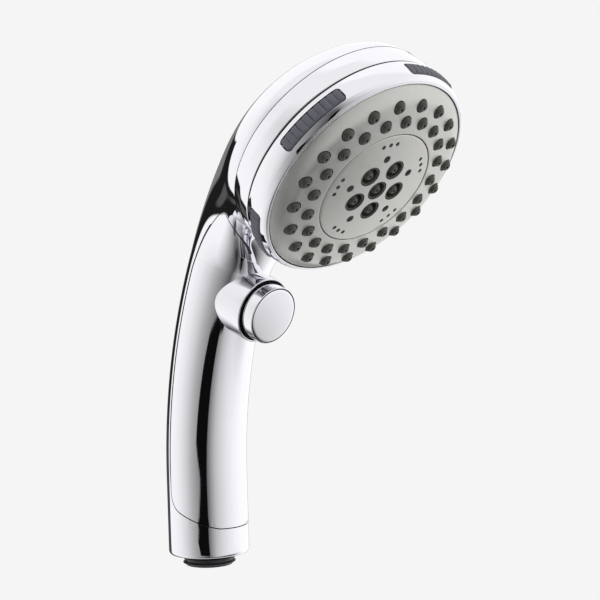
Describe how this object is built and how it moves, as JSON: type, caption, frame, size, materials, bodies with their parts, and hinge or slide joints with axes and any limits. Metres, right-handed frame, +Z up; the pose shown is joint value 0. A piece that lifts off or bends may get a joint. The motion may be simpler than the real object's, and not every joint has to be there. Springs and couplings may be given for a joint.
{
  "type": "handheld shower head",
  "caption": "Chrome handheld shower head with a curved handle, threaded inlet, push button and a turning spray dial with rubber grips.",
  "frame": {"origin": "middle of the threaded inlet's end face, at the bottom of the handle", "axes": "+Z up along the foot of the handle, -Y towards the side the spray face looks to, X across, which is the plane of symmetry's normal"},
  "size_m": [0.0893, 0.1327, 0.1962],
  "materials": {
    "chrome": "bright chrome plate on moulded plastic",
    "satin_plate": "satin warm grey plated plastic",
    "nozzle_rubber": "soft dark olive-grey silicone",
    "grip_rubber": "ribbed blue-grey rubber",
    "seal_rubber": "black seal rubber",
    "dark_plastic": "charcoal moulded plastic",
    "white_plastic": "natural white moulded plastic",
    "steel": "stainless steel",
    "brass": "machined brass"
  },
  "bodies": {
    "handle": {"rear_shell": "chrome", "front_shell": "chrome", "inlet_connector": "dark_plastic", "flow_regulator": "white_plastic", "tube_o_ring": "seal_rubber", "handle_water_tube": "white_plastic", "neck_water_tube": "white_plastic", "valve_body": "white_plastic", "valve_gland": "brass", "button_spring": "steel", "button_guide_ring": "seal_rubber", "head_ring": "chrome", "head_core": "white_plastic", "diverter_disc": "white_plastic", "diverter_gasket": "seal_rubber", "detent_pin": "steel", "detent_spring": "steel", "pivot_screw": "steel"},
    "button": {"button_cap": "chrome", "valve_plunger": "steel", "plunger_seal": "seal_rubber"},
    "dial": {"dial_ring": "chrome", "grip_pad_1": "grip_rubber", "grip_pad_2": "grip_rubber", "grip_pad_3": "grip_rubber", "grip_pad_4": "grip_rubber", "grip_pad_5": "grip_rubber", "spray_plate": "satin_plate", "centre_disc": "satin_plate", "nozzle_mat": "nozzle_rubber", "centre_jet": "nozzle_rubber", "jet_insert_1": "nozzle_rubber", "jet_insert_2": "nozzle_rubber", "jet_insert_3": "nozzle_rubber", "jet_insert_4": "nozzle_rubber", "jet_insert_5": "nozzle_rubber", "water_distributor": "white_plastic", "dial_seal": "seal_rubber"}
  },
  "joints": [
    {"name": "dial_turn", "type": "hinge", "parent": "handle", "child": "dial", "pos_m": [0, -0.0915, 0.146], "axis": [0, -0.7513, -0.66], "continuous": true},
    {"name": "button_press", "type": "slide", "parent": "handle", "child": "button", "axis": [0, 0.9373, 0.3486], "range_m": [0, 0.0035], "stiffness_N_per_m": 1500, "springref_m": -0.002, "deforming": ["button_spring"]}
  ]
}
